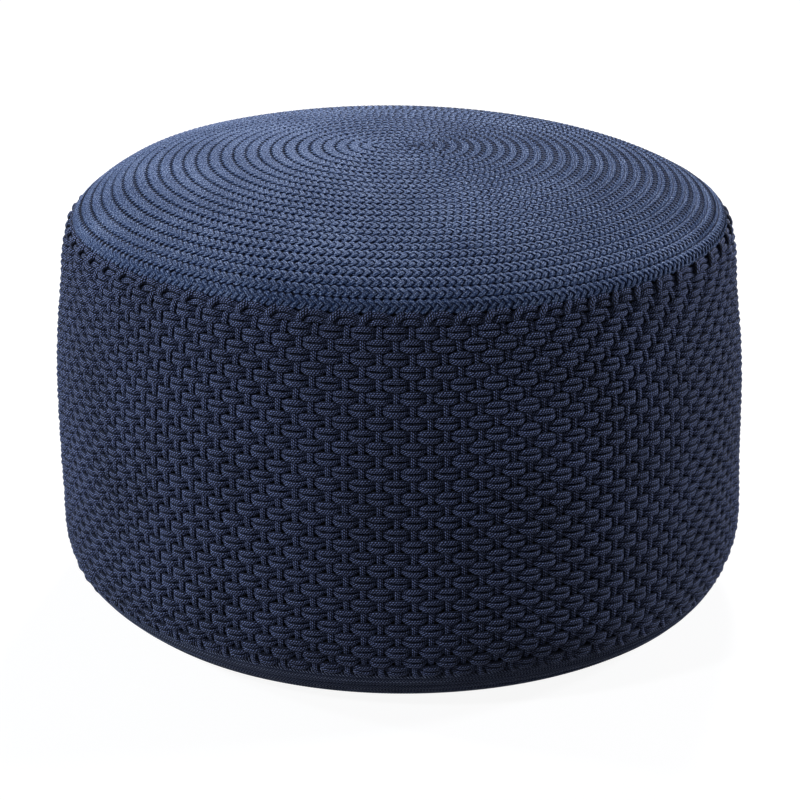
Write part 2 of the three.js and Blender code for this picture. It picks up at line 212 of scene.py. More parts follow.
def colour_and_relief(material, tone, shades, height=None, relief=0, strength=1.0):
    """Colours a surface by a tone from 0 to 1, with shades as pairs of tone and colour, and raises
    it by a height from 0 to 1."""
    shader, links = material.node_tree.nodes["Principled BSDF"], material.node_tree.links
    tint = add_node(material, "ValToRGB", {"Fac": tone})
    while len(tint.color_ramp.elements) < len(shades):
        tint.color_ramp.elements.new(0.5)
    for stop, (at, colour) in zip(tint.color_ramp.elements, shades):
        stop.position, stop.color = at, linear(colour)
    links.new(tint.outputs["Color"], shader.inputs["Base Color"])
    if height is not None:
        bump = add_node(material, "Bump",
                        {"Height": height, "Distance": relief, "Strength": strength})
        links.new(bump.outputs["Normal"], shader.inputs["Normal"])


# Cut polyether foam: matt open cells, off-white going yellow where air reaches it. The cells are
# about 0.5 mm wide, drawn four times as coarse so that they show.
cell_size = 0.5 * mm
foam_material = new_material("cut_polyether_foam", {"Roughness": 0.95, "IOR": 1.45})
foam_place = add_node(foam_material, "TexCoord").outputs["Object"]
foam_cells = add_node(foam_material, "TexVoronoi",
                      {"Vector": foam_place, "Scale": 1 / (4 * cell_size)})
foam_age = add_node(foam_material, "TexNoise", {"Vector": foam_place, "Scale": 9, "Detail": 3})
colour_and_relief(foam_material, foam_age, ((0, "D8D0B4"), (1, "E9E4D2")),
                  foam_cells, cell_size, 0.6)


def foam_block():
    """The drum of foam: its side follows the outline, its ends are flat, its edges are rounded."""
    steps = np.linspace(at_height(foam_low) + foam_low_round,
                        at_height(foam_top) - foam_top_round, 48)
    wall = on_cover(once_round(96)[None, :], steps[:, None], cushion_depth)
    rings = [wall[0] * [s, s, 0] + [0, 0, foam_low] for s in (0.2, 0.5, 0.8, 0.93, 0.985)]
    rings += list(wall)
    for turn in np.linspace(0, math.pi / 2, 6)[1:]:
        inward = 1 - foam_top_round * (1 - math.cos(turn)) / belly_radius
        ring = wall[-1] * [inward, inward, 0]
        ring[:, 2] = foam_top - foam_top_round * (1 - math.sin(turn))
        rings.append(ring)
    rings += [rings[-1] * [s, s, 0] + [0, 0, foam_top] for s in (0.9, 0.6, 0.3, 0.1)]
    return rings_to_piece("foam_block", np.array(rings), foam_material)


foam = foam_block()
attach(foam, "footstool")
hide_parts("foam_core")

# The topper is a disc of loose polyester fibre, laid on the foam to give the crown. It is thick in
# the middle and runs out to a soft rim, and it is held only by the bag that closes over it.
topper_low = foam_top + seat_gap
topper_clear = 0.2 * mm

# Carded polyester fibre: white, fully matt, with the tangled strands of a loose web. They are far
# finer than a pixel, so the web's tufts of about 4 mm are drawn.
fibre_material = new_material("carded_polyester_fibre", {"Roughness": 1.0, "IOR": 1.45})
fibre_place = add_node(fibre_material, "TexCoord").outputs["Object"]
fibre_web = add_node(fibre_material, "TexNoise", {"Vector": fibre_place, "Scale": 260, "Detail": 6,
                                                  "Roughness": 0.75, "Distortion": 2.5})
colour_and_relief(fibre_material, fibre_web, ((0, "DEDDD8"), (1, "F6F5F1")),
                  fibre_web, 1.5 * mm, 0.8)


def fibre_pad():
    """The disc of fibre: flat below, crowned above, with low lumps where the fibre has gathered."""
    angle = once_round(96)[None, :]
    crown = np.linspace(at_height(topper_low) + 3 * mm, crown_at - 2 * mm, 60)[:, None]
    lumps = 0.7 * mm * (1 + np.sin(3 * angle + 40 * crown) * np.cos(5 * angle))
    top = on_cover(angle, crown, cushion_depth + topper_clear + lumps)
    top[..., 2] = np.maximum(top[..., 2], topper_low + topper_clear)
    under = [top[0] * [s, s, 0] + [0, 0, topper_low] for s in (0.2, 0.6, 0.9, 0.985)]
    return rings_to_piece("fibre_pad", np.concatenate([np.array(under), top]), fibre_material)


topper = fibre_pad()
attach(topper, "footstool")
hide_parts("fibre_topper")

# The cushion's bag is plain woven polyester cloth, sewn from a top, a side strip and a base. The
# panels meet in seams of one needle with the edges turned in, and the cloth is drawn tight.
bag_out = cover_thickness + seat_gap
bag_in = bag_out + bag_wall
bag_top_low = at_height(side_height - 12 * mm)
bag_side_low = at_height(12.6 * mm) + 8 * mm
bag_base_height = 11.2 * mm
bag_seam_gap = 0.2 * mm

# Plain woven polyester cloth: threads 0.5 mm apart, over and under one by one, which makes a dull,
# nearly black surface with a little sheen.
thread_pitch = 0.5 * mm
cloth_material = new_material("plain_woven_polyester_cloth",
                              {"Roughness": 0.85, "IOR": 1.5, "Sheen Weight": 0.15})


def woven_threads(material, place, pitch, ways):
    """Height of the threads of a plain weave, from 0 to 1, with bands at this pitch both ways."""
    bands = [add_node(material, "TexWave", {"Vector": place, "Scale": math.pi / (10 * pitch)},
                      bands_direction=way).outputs["Fac"] for way in ways]
    return add_node(material, "Math", {0: bands[0], 1: bands[1]}, operation="MULTIPLY")


cloth_place = add_node(cloth_material, "TexCoord").outputs["Object"]
cloth_weave = woven_threads(cloth_material, cloth_place, thread_pitch, "XZ")
colour_and_relief(cloth_material, cloth_weave, ((0, "14161C"), (1, "252A36")),
                  cloth_weave, 0.15 * mm, 0.5)


def bag_panel(name, low, high, node):
    """A cloth panel with two faces, its edges turned in at the seams."""
    angle = once_round(180)[None, :]
    along = np.linspace(low, high, 70)
    closed_above = high > crown_at - 1 * mm
    edge = np.minimum(along - low, 1.0 if closed_above else high - along)
    turned_in = 1.2 * mm * np.exp(-((edge / (2.5 * mm)) ** 2))
    outer = on_cover(angle, along[:, None], (bag_out + turned_in)[:, None])
    inner = on_cover(angle, along[:, None], (bag_in + turned_in)[:, None])
    if closed_above:
        rings = np.concatenate([inner[:-1][::-1], outer[:-1]])
    else:
        rings = np.concatenate([outer, inner[::-1]])
    made = rings_to_piece(name, rings, cloth_material, closes=not closed_above)
    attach(made, "footstool")
    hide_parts(node)


bag_panel("bag_top_panel", bag_top_low + bag_seam_gap, crown_at, "bag_top")
bag_panel("bag_side_panel", bag_side_low, bag_top_low - bag_seam_gap, "bag_side")


def bag_base_panel():
    """The bag's round base, a flat cloth disc with its edge rolled up into the seam."""
    reach = on_cover(once_round(144), bag_side_low - 6 * mm, bag_out)[:, :2]
    under = []
    for share, lift in ((0.15, 0), (0.5, 0), (0.8, 0), (0.95, 0), (0.99, 0.2), (1, 0.8)):
        height = np.full((len(reach), 1), bag_base_height + lift * mm)
        under.append(np.concatenate([reach * share, height], 1))
    upper = [ring + [0, 0, bag_wall] for ring in under[::-1]]
    made = rings_to_piece("bag_base_panel", np.array(under + upper), cloth_material)
    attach(made, "footstool")
    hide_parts("bag_base")


bag_base_panel()

# The woven side is braided polyester cord of about 5 mm, worked over and under by hand. 140 upright
# cords run from the foot to the seam, and their ends turn to one side and tuck in under the braids.
cord_width = 5.4 * mm
cord_height = 5.0 * mm
cord_sides = 8
upright_count = 140
column_turn = 2 * math.pi / upright_count
row_count = 30
weave_low = at_height(40 * mm)  # the top edge of the foot band
weave_high = seam_at + 0.3 * mm
row_pitch = (weave_high - weave_low) / row_count
weave_middle = 4.75 * mm  # depth of the plane that the cords cross
bolder_at, bolder_reach = -75, 40  # degrees: round here the weave stands out more
foot_hook_out, foot_hook_aside = 3.2 * mm, 9 * mm  # how far the turned ends stand out and reach
head_hook_out, head_hook_aside = 4.5 * mm, 8 * mm
end_dive = 6 * mm  # how far both ends go in under the braids
upright_sway = 0.35 * mm
noise = np.random.default_rng(17)


def near(angle, centre, reach):
    """1 at a place round the drum, and less to both sides of it; both values are in degrees."""
    return np.exp(-(degrees_from(angle, centre) / reach) ** 2)


def smooth(x):
    """0 up to 0, 1 from 1 on, and an even rise between."""
    x = np.clip(x, 0, 1)
    return x * x * (3 - 2 * x)


def drift(angle, seed, waves, size):
    """A slow random change round the drum, the same each run."""
    draw = np.random.default_rng(seed)
    total = np.zeros(np.shape(angle))
    for k in range(1, waves + 1):
        swing, start = draw.normal(), draw.uniform(0, 2 * math.pi)
        total = total + swing * np.cos(k * angle + start) / math.sqrt(waves)
    return size * total


def column_shift(angle, along):
    """How far round the drum the upright cords have moved where hands pulled them, in radians."""
    top_reach, foot_reach, sway = 80 * mm, 70 * mm, 0.8 * mm
    pulled_head, pulled_wall, pulled_foot = 26 * mm, 4 * mm, 3 * mm
    high = np.clip((along - (seam_at - top_reach)) / top_reach, 0, 1.2)
    low = np.clip((weave_low + foot_reach - along) / foot_reach, 0, 1.2)
    right, left = near(angle, 48, 26), near(angle, -30, 30)
    shift = -pulled_head * right * high**2 - pulled_wall * left * (1 - high)
    shift = shift - pulled_foot * low**2 * left
    shift = shift + drift(angle, 5, 9, sway) * high + drift(angle, 6, 9, sway) * low
    return shift / belly_radius


def outward_at(angle, along, depth):
    """The way out of the cover at a place on it."""
    out = on_cover(angle, along, depth - 1 * mm) - on_cover(angle, along, depth)
    return out / np.linalg.norm(out, axis=-1, keepdims=True)


def tubes(centres, outward, half_width, half_height, sides, closes=False, fullness=1.0):
    """Rings of corners round each of several centre lines; outward is the way their flat side
    faces, and a fullness below 1 squares the section."""
    if closes:
        along = np.roll(centres, -1, 1) - np.roll(centres, 1, 1)
    else:
        along = np.gradient(centres, axis=1)
    along /= np.linalg.norm(along, axis=-1, keepdims=True)
    across = np.cross(outward, along)
    across /= np.linalg.norm(across, axis=-1, keepdims=True)
    up = np.cross(along, across)
    turn = once_round(sides)
    level, upright = (np.sign(x) * np.abs(x) ** fullness for x in (np.cos(turn), np.sin(turn)))
    wide, tall = (np.broadcast_to(half, centres.shape[:2])[..., None, None] * share[:, None]
                  for half, share in ((half_width, level), (half_height, upright)))
    return centres[:, :, None, :] + wide * across[:, :, None, :] + tall * up[:, :, None, :]


def tubes_to_piece(name, rings, material, closes=False, start=0.0):
    """One piece from many tubes, with a map of metres along and turns round each thread, and a map
    for baking that lays the tubes out in strips."""
    count, steps, sides = rings.shape[:3]
    index = np.arange(count * steps * sides).reshape(count, steps, sides)
    a, b = index, np.roll(index, -1, 2)
    c, d = np.roll(b, -1, 1), np.roll(a, -1, 1)
    last = steps if closes else steps - 1
    quads = np.stack([a, b, c, d], -1)[:, :last].reshape(-1, 4)
    middles = rings.mean(2)
    gap = np.linalg.norm(np.roll(middles, -1, 1) - middles, axis=-1)[:, :last]
    ahead = np.cumsum(gap, 1)
    behind = ahead - gap
    around = np.arange(sides) / sides
    shape = (count, last, sides)
    u0, u1 = (np.broadcast_to((x + start)[..., None], shape) for x in (behind, ahead))
    v0, v1 = np.broadcast_to(around, shape), np.broadcast_to(around + 1 / sides, shape)
    thread = np.stack([u0, v0, u0, v1, u1, v1, u1, v0], -1).reshape(-1, 2)
    girth = np.linalg.norm(np.roll(rings, -1, 2) - rings, axis=-1).sum(2).mean()
    order = np.arange(count * last)
    per_strip = max(1, round(math.sqrt(count * last * girth / gap.mean())))
    strips = math.ceil(count * last / per_strip)
    s0 = np.broadcast_to((order % per_strip / per_strip).reshape(count, last, 1), shape)
    t0 = np.broadcast_to((order // per_strip).reshape(count, last, 1), shape)
    s1 = s0 + 1 / per_strip
    w0, w1 = (t0 + v0) / strips, (t0 + v1) / strips
    bake = np.stack([s0, w0, s0, w1, s1, w1, s1, w0], -1).reshape(-1, 2)
    faces = [quads]
    if not closes:
        faces.append(np.concatenate([index[:, 0, ::-1], index[:, -1]]))
        turn = around * 2 * math.pi
        ring = np.stack([np.cos(turn), np.sin(turn)], -1) / (4 * strips)
        cap = np.stack([around * 0, around], -1)
        for s, w in ((s0[:, 0, 0], w0[:, 0, 0]), (s1[:, -1, 0], w1[:, -1, 0])):
            place = np.stack([np.clip(s, 0.01, 0.99), np.clip(w, 0.01, 0.99)], -1)[:, None, :]
            bake = np.concatenate([bake, (place + ring[None]).reshape(-1, 2)])
            thread = np.concatenate([thread, np.tile(cap, (count, 1))])
    return add_piece(name, rings.reshape(-1, 3), faces, material,
                     maps={"thread": thread, "OFBake": bake})


# Braided polyester sheath: yarns cross at a slant, and each shows as a short light tick where it is
# on top, bluer than the dark gaps; the light of the ticks is a painted highlight and the dark of
# the gaps painted shade. The real rows are 1.1 mm apart, here 1.6 mm so that they show.
tick_pitch = 2.1 * mm
tick_rows = 10
tick_lean = 0.5  # of a pitch, over the height of a row
yarn_sheen = linear("B4C4F0")
cord_material = new_material("braided_polyester_cord", {
    "Roughness": 0.75, "IOR": 1.5, "Specular IOR Level": 0.15, "Sheen Weight": 0.12,
    "Sheen Roughness": 0.4, "Sheen Tint": yarn_sheen})


def slanted_ticks(material, pitch, rows, lean):
    """Height of the yarns on a braided sheath, from 0 to 1: ticks in rows along the cord that lean
    one way, each row half a tick further on than the one beside it."""
    thread = add_node(material, "UVMap", uv_map="thread")
    split = add_node(material, "SeparateXYZ", {"Vector": thread})
    row = add_node(material, "Math", {0: split.outputs["Y"], 1: rows}, operation="MULTIPLY")
    number = add_node(material, "Math", {0: row}, operation="FLOOR")
    inside = add_node(material, "Math", {0: row}, operation="FRACT")
    bow = add_node(material, "Math", {0: inside, 1: math.pi}, operation="MULTIPLY")
    ridge = add_node(material, "Math", {0: bow}, operation="SINE")
    run = add_node(material, "Math", {0: split.outputs["X"], 1: 2 * math.pi / pitch},
                   operation="MULTIPLY")
    for share, turn in ((number, math.pi), (inside, 2 * math.pi * lean)):
        run = add_node(material, "Math", {0: share, 1: turn, 2: run}, operation="MULTIPLY_ADD")
    along = add_node(material, "Math", {0: run}, operation="SINE")
    along = add_node(material, "Math", {0: along, 1: 0.4, 2: 0.6}, operation="MULTIPLY_ADD")
    tick = add_node(material, "Math", {0: along, 1: ridge}, operation="MULTIPLY")
    return add_node(material, "MapRange", {"Value": tick, "From Min": 0.1, "From Max": 0.85},
                    interpolation_type="SMOOTHSTEP")


def dyed_yarn(material, height, colours, relief, relief_shading_share, fleck_share, fleck_long,
              flecks_round, side_shade_share, side_shade_reach):
    """Colour and relief of dyed yarn, from the dark of its grooves to the light on its yarns, which
    is painted shade and painted highlight that follow the relief, with flecks of filament that took
    the dye unevenly, slow changes of tone over some centimetres, and painted shade at the yarn's
    sides."""
    shade_share, side_shade_blur = 0.3, 0.35
    thread = add_node(material, "UVMap", uv_map="thread")
    cells = add_node(material, "VectorMath", {0: thread, 1: (1 / fleck_long, flecks_round, 0)},
                     operation="MULTIPLY")
    flecks = add_node(material, "TexNoise", {"Vector": cells, "Scale": 1, "Detail": 1},
                      noise_dimensions="2D")
    fleck = add_node(material, "MapRange", {"Value": flecks, "From Min": 0.32, "From Max": 0.68})
    place = add_node(material, "TexCoord").outputs["Object"]
    shade = add_node(material, "TexNoise", {"Vector": place, "Scale": 16, "Detail": 2})
    # Painted shade: the crest is 1 on top of the yarn and 0 at its sides, where it turns down into
    # the groove, and the sides are drawn darker.
    around = add_node(material, "SeparateXYZ", {"Vector": thread}).outputs["Y"]
    around = add_node(material, "Math", {0: around, 1: 2 * math.pi}, operation="MULTIPLY")
    around = add_node(material, "Math", {0: around}, operation="SINE")
    around = add_node(material, "Math", {0: around}, operation="ABSOLUTE")
    crest = add_node(material, "MapRange", {
        "Value": around, "From Min": side_shade_reach - side_shade_blur, "From Max": side_shade_reach + side_shade_blur},
                     interpolation_type="SMOOTHSTEP")
    # The tone adds random tone, flecks, the relief as painted shade and highlight, and the painted
    # shade at the sides.
    mix = 0.5 - (relief_shading_share + fleck_share + shade_share) / 2 - side_shade_share
    for part, share in ((shade, shade_share), (fleck, fleck_share), (height, relief_shading_share),
                        (crest, side_shade_share)):
        mix = add_node(material, "Math", {0: part, 1: share, 2: mix}, operation="MULTIPLY_ADD")
    colour_and_relief(material, mix, tuple(zip((0.1, 0.5, 0.95), colours)), height, relief)


# The cord's colour follows its ticks: painted shade in the gaps, painted highlight on the ticks,
# and painted shade at the cord's sides.
dyed_yarn(cord_material, slanted_ticks(cord_material, tick_pitch, tick_rows, tick_lean),
          colours=("02050E", "212B4B", "8E9ED2"), relief=0.3 * mm, relief_shading_share=0.9,
          fleck_share=0.4, fleck_long=1.3 * mm, flecks_round=14, side_shade_share=0.6, side_shade_reach=0.45)


def upright_cords(name, columns):
    """Upright cords, in front of every second row, with both ends turned aside and tucked in."""
    along = np.linspace(weave_low - 9 * mm, seam_at + 7 * mm, 186)[None, :]
    column = np.array(columns)[:, None]
    row = (along - weave_low) / row_pitch - 0.5
    foot_shows = (column % 2 == 1) * 1.0
    head_shows = ((column + row_count - 1) % 2 == 1) * 1.0
    over = -np.cos(math.pi * (row + column))  # 1 where the cord shows, -1 where it is behind
    over = np.where(row < 0, 2 * foot_shows - 1, over)
    over = np.where(row > row_count - 1, 2 * head_shows - 1, over)
    bolder = near(column * column_turn, bolder_at, bolder_reach)
    depth = weave_middle + 1.3 * mm - (0.8 + 0.7 * bolder) * mm * over
    wide = cord_width / 2 * (1.06 + 0.04 * over)
    tall = cord_height / 2 * (0.9 + 0.02 * over)

    # The ends that show stand out over the outermost row, and all ends dive in under the braids.
    foot_out = smooth(1 - np.abs(along - (weave_low - 1.5 * mm)) / (7 * mm)) * foot_shows
    foot_dive = smooth((weave_low - 4.5 * mm - along) / (5 * mm))
    head_out = smooth(1.1 - np.abs(along - (weave_high - 3.5 * mm)) / (10 * mm)) * head_shows
    head_dive = smooth((along - (weave_high - 1.5 * mm)) / (4 * mm))
    depth = depth - foot_hook_out * foot_out + end_dive * foot_dive
    depth = depth - head_hook_out * head_out + end_dive * head_dive
    wide = wide - 0.7 * mm * foot_out + 0.1 * mm * head_out

    # The ends that show also turn to one side, as hooks.
    foot_aside = np.clip((weave_low + 4 * mm - along) / (10 * mm), 0, 1.5) ** 2 * foot_shows
    head_aside = smooth((along - (weave_high - 7.8 * mm)) / (10 * mm)) * head_shows
    angle = column * column_turn
    angle = angle + column_shift(angle, along)
    angle = angle + drift(along * 40, 11, 6, 0.3 * mm) / belly_radius
    angle = angle + noise.normal(0, upright_sway, column.shape) / belly_radius
    aside = foot_hook_aside * foot_aside + head_hook_aside * head_aside - 1.6 * mm * head_out
    angle = angle + aside / belly_radius
    centres, outward = on_cover(angle, along, depth), outward_at(angle, along, depth)
    made = tubes_to_piece(name, tubes(centres, outward, wide, tall, cord_sides), cord_material)
    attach(made, "footstool")
    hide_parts("side_weave")


upright_cords("upright_cords_1", range(0, 47))
upright_cords("upright_cords_2", range(47, 94))
upright_cords("upright_cords_3", range(94, 140))

# The level cords run round the drum in 30 rows of two, worked in pairs over one upright and behind
# the next. Each pair swells and parts where it shows and closes up where it dives, like a leaf.
steps_per_column = 8
angle_round = np.arange(upright_count * steps_per_column) * column_turn / steps_per_column
rows_per_piece = 5
pair_apart = 1.65 * mm  # from a pair's middle to each of its cords where it dives
pair_opens = 1.4 * mm  # how much further apart they are where they show
level_rise = 2.45 * mm  # how far a pair comes out from the weave's middle, and goes in
level_sway = 0.3 * mm
top_bow = 1.4 * mm  # how far the top row goes up where it shows, and down where it dives


def level_cords(name, rows):
    """Pairs of cords round the drum for these rows, counted from the foot."""
    bolder = near(angle_round, bolder_at, bolder_reach)
    centres, outward, wides, talls = [], [], [], []
    for row in rows:
        lowest, topmost = row == 0, row == row_count - 1
        middle = weave_low + (row + 0.5) * row_pitch
        middle = middle + drift(angle_round, 100 + row, 14, level_sway)
        column = (angle_round - column_shift(angle_round, middle)) / column_turn
        wave = np.cos(math.pi * (column + row))
        shows = (1 + wave) / 2
        swell = 1 + drift(angle_round * 9, 200 + row, 12, 0.05)

        # The outermost rows swing out where they show, and in where an upright turns over them.
        bow = (2 * top_bow * shows - top_bow) * topmost - (1.4 * mm * shows - 0.6 * mm) * lowest
        apart = pair_apart + 0.25 * mm * bolder + (0.5 - 0.8 * shows) * mm * topmost
        opens = smooth(shows * (1.15 + 0.3 * bolder))
        apart = apart + (pair_opens - 0.4 * mm * bolder) * opens
        out = np.tanh((1.9 + 0.8 * bolder) * (wave + 0.15 - 0.3 * bolder))
        depth = weave_middle + 0.1 * mm - level_rise * out * swell
        if topmost:
            depth = np.minimum(depth, weave_middle - 0.1 * mm)
        fuller = 0.16 * (1 - shows) * topmost
        width = 0.64 + fuller + 0.35 * smooth(shows * (1.1 + 0.4 * bolder))
        for side in (-1, 1):
            along = middle + bow + side * apart
            centres.append(on_cover(angle_round, along, depth))
            outward.append(outward_at(angle_round, along, depth))
            wides.append(cord_width / 2 * width * swell)
            talls.append(cord_height / 2 * (0.8 + 0.2 * shows))
    rings = tubes(np.array(centres), np.array(outward), np.array(wides), np.array(talls),
                  cord_sides, closes=True)
    made = tubes_to_piece(name, rings, cord_material, closes=True)
    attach(made, "footstool")
    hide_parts("side_weave")


for part in range(row_count // rows_per_piece):
    level_cords(f"level_cords_{part + 1}",
                range(part * rows_per_piece, (part + 1) * rows_per_piece))

# The foot band is a wide flat plait of many thin polyester yarns, which goes round the foot, turns
# under and lies flat on the floor. Its yarns cross at a slant and show in rows like a herringbone.
band_yarns = 660
band_pieces = 3
band_yarn_width = 2.1 * mm
band_yarn_height = 1.5 * mm
band_slant = math.radians(48)
band_mean_radius = foot_radius + 50 * mm
band_row = 8.4 * mm
band_low = -lip_width + 1 * mm
band_high = weave_low + 4 * mm
band_top_dive = 4.6 * mm  # how far the ends of the yarns go in behind the weave
band_lip_dive = 1.2 * mm

# Plaited polyester yarn: bundles of filament with a slow twist, matt, with light flecks where they
# catch the light. The bundles are 0.3 mm in a real yarn, drawn about 1 mm wide so that they show.
# Each yarn carries painted shade between its bundles and at its sides, where it turns down.
band_material = new_material("plaited_polyester_yarn", {
    "Roughness": 0.82, "IOR": 1.5, "Specular IOR Level": 0.15, "Sheen Weight": 0.2,
    "Sheen Roughness": 0.45, "Sheen Tint": yarn_sheen})


def laid_filaments(material, strands, twist_pitch):
    """Height of the filament bundles that run along a yarn with a slow twist, from 0 to 1."""
    thread = add_node(material, "UVMap", uv_map="thread")
    split = add_node(material, "SeparateXYZ", {"Vector": thread})
    run = add_node(material, "Math", {0: split.outputs["X"], 1: 2 * math.pi / twist_pitch},
                   operation="MULTIPLY")
    turn = add_node(material, "Math", {0: split.outputs["Y"], 1: 2 * math.pi * strands, 2: run},
                    operation="MULTIPLY_ADD")
    wave = add_node(material, "Math", {0: turn}, operation="SINE")
    return add_node(material, "Math", {0: wave, 1: 0.5, 2: 0.5}, operation="MULTIPLY_ADD")


dyed_yarn(band_material, laid_filaments(band_material, 5, 4 * mm),
          colours=("04060F", "2F395A", "BAC8EE"), relief=0.25 * mm, relief_shading_share=0.35,
          fleck_share=0.6, fleck_long=1.6 * mm, flecks_round=7, side_shade_share=1.0, side_shade_reach=0.5)


def band_yarns_one_way(name, way, first, last):
    """Yarns that all slant one way, on top in every second row and beneath in the others."""
    along = np.linspace(band_low, band_high, 56)[None, :]
    start = np.arange(first, last)[:, None] * 2 * math.pi / band_yarns
    run = (along - band_low) / math.tan(band_slant)
    angle = start + way * run / band_mean_radius
    over = np.tanh(2.2 * np.sin((along - band_low) / band_row * math.pi)) * way
    depth = band_yarn_height * 1.02 + 0.15 * mm - band_yarn_height * 0.5 * over
    depth = depth + band_top_dive * smooth((along - weave_low + 3 * mm) / (5 * mm))
    depth = depth + band_lip_dive * smooth((band_low + 3 * mm - along) / (3 * mm))
    centres, outward = on_cover(angle, along, depth), outward_at(angle, along, depth)
    rings = tubes(centres, outward, band_yarn_width / 2, band_yarn_height / 2, 5)
    made = tubes_to_piece(name, rings, band_material)
    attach(made, "footstool")
    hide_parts("base_braid")


for part in range(band_pieces):
    first, last = (band_yarns // band_pieces * k for k in (part, part + 1))
    band_yarns_one_way(f"foot_band_right_yarns_{part + 1}", 1, first, last)
    band_yarns_one_way(f"foot_band_left_yarns_{part + 1}", -1, first, last)

# The base is closed by two half discs of coated polyester cloth, each sewn to the foot band by its
# round edge and to the zip by its folded straight edge. They lie about 9 mm above the floor.
panel_radius = 218 * mm
panel_low = 9.3 * mm
panel_thickness = 1 * mm
panel_slot = 8.5 * mm  # from the zip's line to the folded edge
panel_slot_end = 182 * mm
panel_columns, panel_rows = 120, 46

# Coated Oxford cloth: two threads of 0.45 mm run as one in its basket weave, half gloss from the
# coating, with a light bloom of dust.
panel_pitch = 0.9 * mm
panel_material = new_material("coated_oxford_cloth", {"Roughness": 0.6, "IOR": 1.5})
panel_place = add_node(panel_material, "TexCoord").outputs["Object"]
panel_weave = woven_threads(panel_material, panel_place, panel_pitch, "XY")
panel_dust = add_node(panel_material, "TexNoise",
                      {"Vector": panel_place, "Scale": 22, "Detail": 4})
panel_tone = add_node(panel_material, "Math", {0: panel_dust, 1: 0.6, 2: panel_weave},
                      operation="MULTIPLY_ADD")
colour_and_relief(panel_material, panel_tone, ((0, "171A22"), (1, "343A48")),
                  panel_weave, 0.2 * mm, 0.6)


def base_panel(name, node, side):
    """Half of the base on one side of the zip, with the fold along its straight edge."""
    x = np.linspace(-1, 1, panel_columns)
    x = np.sign(x) * np.abs(x) ** 0.9 * (panel_radius - 0.5 * mm)
    beside_zip = np.abs(x) < panel_slot_end
    inner = np.where(beside_zip, panel_slot, 0.4 * mm)
    outer = np.sqrt(np.maximum(panel_radius**2 - x**2, (0.8 * mm) ** 2)) + 0.4 * mm
    outer = np.maximum(outer, inner + 0.6 * mm)
    share = (np.linspace(0, 1, panel_rows) ** 1.6)[:, None]
    y = inner + (outer - inner) * share
    x = np.broadcast_to(x, y.shape)
    fold = 0.5 * mm * smooth(1 - (y - inner) / (9 * mm)) * beside_zip
    ripple = 0.25 * mm * np.sin(x * 60 + 3 * y * 40) * np.sin(math.pi * share)
    low = np.stack([x, side * y, panel_low + ripple - fold * 0.4], -1)
    high = low + np.stack([0 * y, 0 * y, panel_thickness + fold * 0.2], -1)
    under = np.arange(y.size).reshape(y.shape)
    top = under + y.size
    quads = [np.stack(corners, -1).reshape(-1, 4) for corners in (
        (under[:-1, :-1], under[:-1, 1:], under[1:, 1:], under[1:, :-1]),
        (top[:-1, :-1], top[1:, :-1], top[1:, 1:], top[:-1, 1:]))]
    for a, b in ((under[0], top[0]), (under[-1][::-1], top[-1][::-1]),
                 (under[:, 0][::-1], top[:, 0][::-1]), (under[:, -1], top[:, -1])):
        quads.append(np.stack([a[:-1], b[:-1], b[1:], a[1:]], -1))
    faces = np.concatenate(quads)
    if side > 0:
        faces = faces[:, ::-1]
    points = np.concatenate([low.reshape(-1, 3), high.reshape(-1, 3)])
    made = add_piece(name, points, [faces], panel_material)
    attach(made, "footstool")
    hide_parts(node)


base_panel("base_panel_cloth_back", "base_panel_back", 1)
base_panel("base_panel_cloth_front", "base_panel_front", -1)

# The zip is a moulded-tooth zip: two woven polyester tapes, each with a row of acetal teeth, two
# stops and a box of the same acetal, and a slider with its pull, cast in zinc and lacquered black.

# Woven polyester tape: dull, with a fine rib across it every 1.1 mm.
tape_rib_pitch = 1.1 * mm
tape_material = new_material("woven_zip_tape", {"Roughness": 0.85, "IOR": 1.5})
tape_place = add_node(tape_material, "TexCoord").outputs["Object"]
tape_rib = add_node(tape_material, "TexWave", {
    "Vector": tape_place, "Scale": math.pi / (10 * tape_rib_pitch), "Distortion": 0.4},
                    bands_direction="X").outputs["Fac"]
colour_and_relief(tape_material, tape_rib, ((0, "14171E"), (1, "2B303D")),
                  tape_rib, 0.15 * mm, 0.7)

# Moulded acetal: dyed in the mass, half gloss, with the faint flow of the moulding in its shade.
acetal_material = new_material("moulded_acetal", {"Roughness": 0.4, "IOR": 1.48})
acetal_place = add_node(acetal_material, "TexCoord").outputs["Object"]
acetal_flow = add_node(acetal_material, "TexNoise",
                       {"Vector": acetal_place, "Scale": 500, "Detail": 3})
colour_and_relief(acetal_material, acetal_flow, ((0, "16181F"), (1, "20242E")))

# Lacquered cast zinc: near black and glossy, paler and duller in the small places where it is worn.
lacquer_material = new_material("lacquered_cast_zinc", {"Roughness": 0.35, "Metallic": 0.6})
lacquer_place = add_node(lacquer_material, "TexCoord").outputs["Object"]
lacquer_wear = add_node(lacquer_material, "TexNoise",
                        {"Vector": lacquer_place, "Scale": 700, "Detail": 5})
colour_and_relief(lacquer_material, lacquer_wear, ((0, "1B1C1F"), (1, "3A3B3F")))
lacquer_rough = add_node(lacquer_material, "MapRange",
                         {"Value": lacquer_wear, "To Min": 0.28, "To Max": 0.5})
lacquer_material.node_tree.links.new(
    lacquer_rough.outputs["Result"],
    lacquer_material.node_tree.nodes["Principled BSDF"].inputs["Roughness"])

for material, nodes in (
    (tape_material, ("zip_tape_back", "zip_tape_front")),
    (acetal_material, ("zip_teeth_back", "zip_teeth_front", "zip_stop_back", "zip_stop_front",
                       "zip_end_box")),
    (lacquer_material, ("zip_slider", "zip_pull")),
):
    for node in nodes:
        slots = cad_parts[node].data.materials
        slots.clear()
        slots.append(material)

